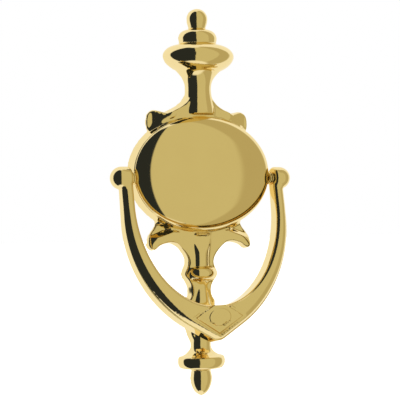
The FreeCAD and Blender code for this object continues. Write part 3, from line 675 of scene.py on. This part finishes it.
@dataclass
class PlateCasting(Casting):
    """The back plate, whose horns and scrolls are carved to slope away from the middle."""

    horn_from: float = 17.0
    horn_slope: float = 0.46
    horn_crown: float = 6.3
    shoulder_crown: float = 6.6
    shoulder_r: float = 100.0
    horn_inner: Span = (12.0, 16.0)
    horn_above: Span = (34.0, 40.0)
    horn_bottom: float = 10.0
    scroll_ridge: tuple[Span, ...] = ((-37.0, 29.5), (-33.0, 26.5), (-30.3, 23.5), (-27.0, 14.0),
                                      (-24.0, 8.0))
    scroll_slope: float = 0.50
    scroll_crown: float = 5.0
    leaf_crown: float = 4.8
    leaf_r: float = 150.0
    leaf_inner: Span = (9.0, 14.0)
    leaf_band: Span = (-40.0, -20.0)
    frame_half: Span = (40.9, 31.8)
    frame_z: float = 2.3
    stem_half: float = 15.0
    stem_from: float = -24.0
    stem_melt: Span = (0.1, 4.0)      # left proud of the leaf at the top, and how much more below
    stem_top: float = -31.0
    stem_clear: float = -47.0
    least: float = 1.6

    def shape(self, piece: bpy.types.Object) -> None:
        """Slopes the fronts of the horns and the scrolls' outer flanks; melts the stem's top."""
        points = points_of(piece) / MM
        across, depth, height = np.abs(points[:, 0]), -points[:, 1], points[:, 2]
        half_w, half_h = self.frame_half
        outside = ~((across / half_w) ** 2 + ((height - self.frame_z) / half_h) ** 2 < 1.0)
        old_horn = self.shoulder_crown - self.shoulder_r + np.sqrt(self.shoulder_r ** 2 - across ** 2)
        new_horn = self.horn_crown - self.horn_slope * np.maximum(across - self.horn_from, 0.0)
        horn = np.maximum(new_horn, self.least) / old_horn
        horn_part = soft_step(across, *self.horn_inner) * (1.0 - soft_step(height, *self.horn_above))
        horn_part = horn_part * (height > self.horn_bottom) * outside
        ridge = np.interp(height, *zip(*self.scroll_ridge))
        old_leaf = self.leaf_crown - self.leaf_r + np.sqrt(self.leaf_r ** 2 - across ** 2)
        new_leaf = self.scroll_crown - self.scroll_slope * np.maximum(across - ridge, 0.0)
        leaf = np.maximum(new_leaf, self.least) / old_leaf
        low, high = self.leaf_band
        leaf_part = soft_step(across, *self.leaf_inner) * (height < high) * (height > low) * outside
        depth = depth * (1.0 + (horn - 1.0) * horn_part)
        depth = depth * (1.0 + (leaf - 1.0) * leaf_part)
        stem = (across < self.stem_half) & (height < self.stem_from)
        stem = stem & (height > self.stem_clear) & outside
        spare, more = self.stem_melt
        melt = self.leaf_crown + spare + more * soft_step(-height, -self.stem_top, -self.stem_clear)
        depth = np.where(stem, np.minimum(depth, melt), depth)
        points[:, 1] = -depth
        put_points(piece, points * MM)


# ------------------------------------------------------------------ turned and pressed pieces
@dataclass
class RingedPiece(MadePiece):
    """A round or oval piece raised ring by ring from a flat disc."""

    middle: tuple[float, float, float]
    rings: list[Span] = field(default_factory=list)
    sides: int = 64
    oval: float = 1.0

    def build(self) -> bpy.types.Object:
        """Raises the rings, closes the ends and smooths the walls.

        Returns:
            The finished piece.
        """
        bpy.ops.object.select_all(action="DESELECT")
        radius = self.rings[0][0]
        bpy.ops.mesh.primitive_circle_add(vertices=self.sides, radius=radius * MM, fill_type="NGON")
        piece = bpy.context.object
        piece.name = self.name
        bpy.ops.object.mode_set(mode="EDIT")
        bpy.ops.mesh.select_mode(type="FACE")
        bpy.ops.mesh.select_all(action="SELECT")
        for (old_r, old_h), (new_r, new_h) in zip(self.rings, self.rings[1:]):
            lift = (0.0, 0.0, (new_h - old_h) * MM)
            bpy.ops.mesh.extrude_region_move(TRANSFORM_OT_translate={"value": lift})
            if abs(new_r - old_r) > 1e-9:
                scale = new_r / old_r
                bpy.ops.transform.resize(value=(scale, scale, 1.0), center_override=(0.0, 0.0, 0.0))
        bpy.ops.mesh.select_all(action="SELECT")
        bpy.ops.mesh.normals_make_consistent(inside=False)
        bpy.ops.object.mode_set(mode="OBJECT")
        self.place(piece)
        select_only(piece)
        bpy.ops.object.shade_smooth_by_angle(angle=math.radians(38.0))
        return piece

    def place(self, piece: bpy.types.Object) -> None:
        """Turns the piece to face out of the door and puts it at its place, in its mesh.

        Args:
            piece: the piece, flat on the ground with its front upwards.
        """
        turn = Matrix.Rotation(math.radians(90.0), 4, "X")
        stretch = Matrix.Diagonal((1.0, self.oval, 1.0, 1.0))
        where = Matrix.Translation(Vector(self.middle) * MM)
        start = Matrix.Translation((0.0, 0.0, self.rings[0][1] * MM))
        piece.data.transform(where @ turn @ stretch @ start)
        select_only(piece)
        bpy.ops.object.mode_set(mode="EDIT")
        bpy.ops.mesh.select_all(action="SELECT")
        bpy.ops.mesh.normals_make_consistent(inside=False)
        bpy.ops.object.mode_set(mode="OBJECT")


@dataclass
class OvalCover(RingedPiece):
    """The pressed oval lid: a gentle crown rolled over to a steep rim, hollow, with a skirt."""

    half_w: float = 38.8
    half_h: float = 29.7
    crown_r: float = 118.0
    roll_in: float = 12.0
    roll_rise: float = 3.0
    wall: float = 1.3
    skirt_r: float = 36.1
    skirt_down: float = 1.5
    steps: int = 30

    def height(self, radius: float) -> float:
        """Height of the outer skin above its seat, at a distance from the middle."""
        inside = min((self.half_w - radius) / self.roll_in, 1.0)
        roll = self.roll_rise * math.sqrt(max(0.0, 1.0 - (1.0 - inside) ** 2))
        edge = math.sqrt(self.crown_r ** 2 - self.half_w ** 2)
        return roll + math.sqrt(self.crown_r ** 2 - radius ** 2) - edge

    def skin(self, inset: float) -> list[Span]:
        """Rings of a skin from its rim to its crown.

        Args:
            inset: how far it lies inside the outer skin.

        Returns:
            Radius and height of each ring.
        """
        rings = []
        for step in range(self.steps + 1):
            radius = self.half_w * math.cos(0.5 * math.pi * step / self.steps)
            rings.append((max(radius - inset, 0.3), max(self.height(radius) - inset, 0.0)))
        return rings

    def __post_init__(self) -> None:
        """Strings the inner skin, the skirt and the outer skin into one run of rings."""
        inner = self.skin(self.wall)
        skirt_in = self.skirt_r - self.wall
        inner = [(min(radius, skirt_in), height) for radius, height in reversed(inner)]
        skirt = [(skirt_in, -self.skirt_down), (self.skirt_r, -self.skirt_down), (self.skirt_r, 0.0)]
        self.rings = inner + skirt + self.skin(0.0)
        self.oval = self.half_h / self.half_w


def dress_node(node: str, material: bpy.types.Material) -> None:
    """Puts a finish on a node of the frame.

    Args:
        node: the node's name.
        material: the finish.
    """
    piece = frame["nodes"][node]
    for slot in piece.material_slots:
        slot.material = material


def main() -> None:
    """Builds the studio and dresses every piece."""
    logging.basicConfig(level=logging.INFO, format="%(message)s")
    finishes = {
        Slot.POLISHED: BrassFinish().material(),
        Slot.TURNED: BrassFinish(name="turned_brass", roughness=0.09).material(),
        Slot.ZINC: ZincFinish().material(),
    }
    pieces = [
        PlateCasting("back_plate", "plate_casting", "plate", Slot.POLISHED, 0.52, 10),
        BailCasting("bail", "bail_casting", "bail", Slot.POLISHED, 0.36, 12),
        OvalCover("oval_cover", "oval_lid", "plate", Slot.POLISHED, (0.0, -7.2, 2.3), sides=160),
        RingedPiece("strike_stud", "strike_button", "plate", Slot.TURNED, (0.0, 0.0, -73.8), [
            (2.0, 0.5), (2.4, 0.9), (2.4, 6.0), (4.6, 6.0), (5.0, 6.4), (5.0, 7.3), (4.75, 7.5),
            (4.75, 7.7), (5.0, 7.9), (5.0, 8.6), (4.7, 9.3), (4.0, 9.6), (2.6, 9.6), (2.3, 9.5),
            (0.6, 9.5)]),
        RingedPiece("hammer_button", "hammer_face", "bail", Slot.TURNED, (0.0, 0.0, -73.8), [
            (0.6, 9.72), (4.4, 9.72), (5.1, 10.0), (5.4, 10.7), (5.4, 11.5), (5.15, 11.7), (5.15, 11.9),
            (5.4, 12.1), (5.4, 12.42), (2.4, 12.42), (2.4, 19.0), (2.1, 19.42)]),
    ]
    for maker in pieces:
        piece = maker.build()
        maker.dress(piece, finishes)
        LOG.info("made %s", piece.name)
    made = {maker.node for maker in pieces}
    slots = {row["node"]: Slot(row["material_slot"]) for row in frame["record"]["subparts"]}
    for name, slot in slots.items():
        if name not in made:
            dress_node(name, finishes[slot])
            LOG.info("dressed %s", name)
    Studio().build()


if __name__ == "__main__":
    main()
